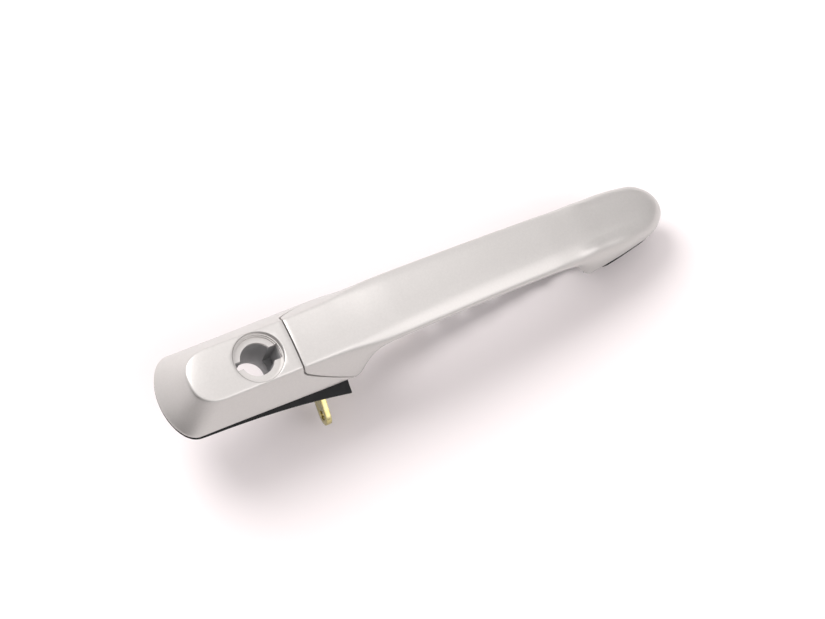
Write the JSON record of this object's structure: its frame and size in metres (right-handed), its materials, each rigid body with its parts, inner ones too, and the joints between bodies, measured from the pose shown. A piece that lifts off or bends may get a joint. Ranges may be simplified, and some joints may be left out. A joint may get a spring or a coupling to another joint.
{
  "type": "car door handle",
  "caption": "Pull-type exterior door handle: silver grip hinged at its front foot, end cap with lock bore, gaskets, carrier behind the door skin and a release lever.",
  "frame": {"origin": "on the lock axis, level with the end cap's bottom edge", "axes": "+X from the end cap to the grip's nose, +Y across the handle, +Z out of the door along the lock axis"},
  "size_m": [0.24, 0.0463, 0.0588],
  "materials": {
    "silver_paint": "silver metallic paint under clear lacquer",
    "grey_plastic": "moulded, matt grey",
    "black_rubber": "moulded, satin black",
    "black_nylon": "glass-filled nylon, matt black",
    "dark_plastic": "fine-grained dark grey moulding",
    "zinc_screw": "bright zinc plate",
    "steel": "ground steel",
    "spring_steel": "oiled spring steel",
    "brass_insert": "turned brass",
    "cast_zinc": "die-cast zinc, satin",
    "white_acetal": "natural acetal",
    "yellow_zinc": "yellow passivated zinc plate"
  },
  "bodies": {
    "base": {"cap_shell": "silver_paint", "lock_housing": "grey_plastic", "rear_gasket": "black_rubber", "front_gasket": "black_rubber", "carrier": "black_nylon", "cap_screws": "zinc_screw", "housing_screws": "zinc_screw", "lever_pin": "steel", "lever_clip": "spring_steel", "lever_spring": "spring_steel", "front_pin": "steel", "front_clip": "spring_steel", "rail_inserts": "brass_insert", "rear_insert": "brass_insert"},
    "grip": {"grip_shell": "silver_paint", "grip_cover": "dark_plastic", "core_plate": "steel", "hinge_arm": "cast_zinc", "hinge_bush": "white_acetal", "tail_hook": "cast_zinc", "arm_screws": "zinc_screw", "hook_screws": "zinc_screw", "cover_screws": "zinc_screw"},
    "lever": {"release_lever": "yellow_zinc", "lever_bush": "white_acetal"}
  },
  "joints": [
    {"name": "grip_pull", "type": "hinge", "parent": "base", "child": "grip", "pos_m": [0.188, 0, -0.004], "axis": [0, 1, 0], "range_deg": [0, 5]},
    {"name": "lever_turn", "type": "hinge", "parent": "base", "child": "lever", "pos_m": [0.028, -0.009, -0.022], "axis": [1, 0, 0], "range_deg": [0, 46], "stiffness_Nm_per_rad": 0.08, "springref_deg": -28.65, "deforming": ["lever_spring"]}
  ],
  "couplings": [
    {"joint": "lever_turn", "follows": "grip_pull", "ratio": 9.1}
  ]
}
